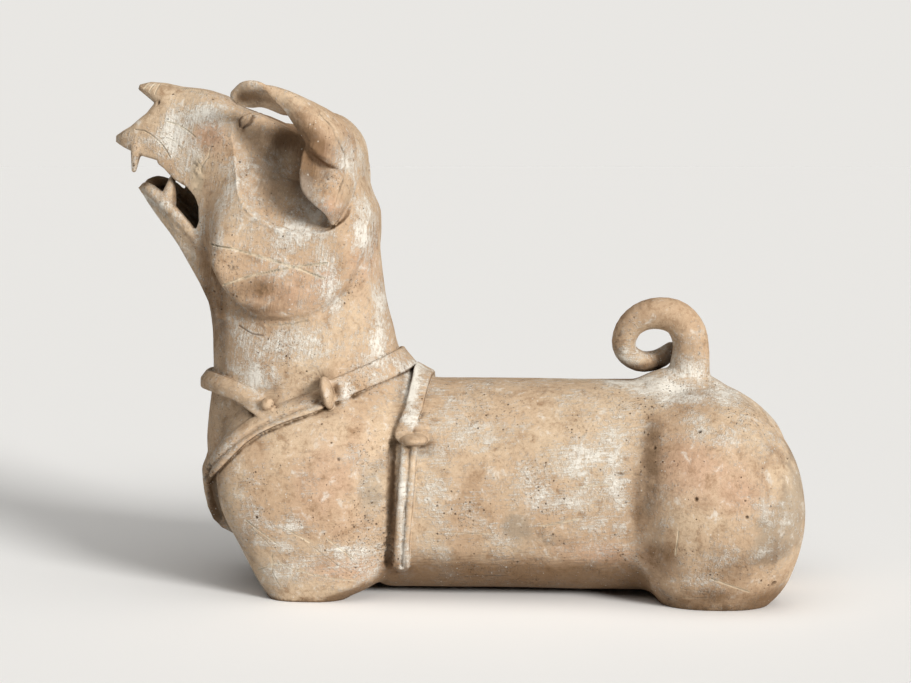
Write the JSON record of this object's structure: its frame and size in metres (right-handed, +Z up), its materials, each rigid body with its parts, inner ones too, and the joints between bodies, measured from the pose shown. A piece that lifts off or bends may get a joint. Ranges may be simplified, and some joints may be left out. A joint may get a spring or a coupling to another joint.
{
  "type": "tomb guardian dog figure",
  "caption": "Recumbent guard dog in fired clay with its head thrown back, jaws open, moulded harness straps and a coiled tail; stands on its flat feet.",
  "frame": {"origin": "centre of the figure's bounding box in plan, at the level of its flat feet", "axes": "+Z up, X along the body with the muzzle towards -X and the rump towards +X, the side in the picture faces -Y"},
  "size_m": [0.5462, 0.2122, 0.4048],
  "materials": {
    "fired_clay": "matt unglazed low-fired clay with chalky burial deposits"
  },
  "bodies": {
    "root": {"guardian_dog": "fired_clay"}
  },
  "joints": []
}
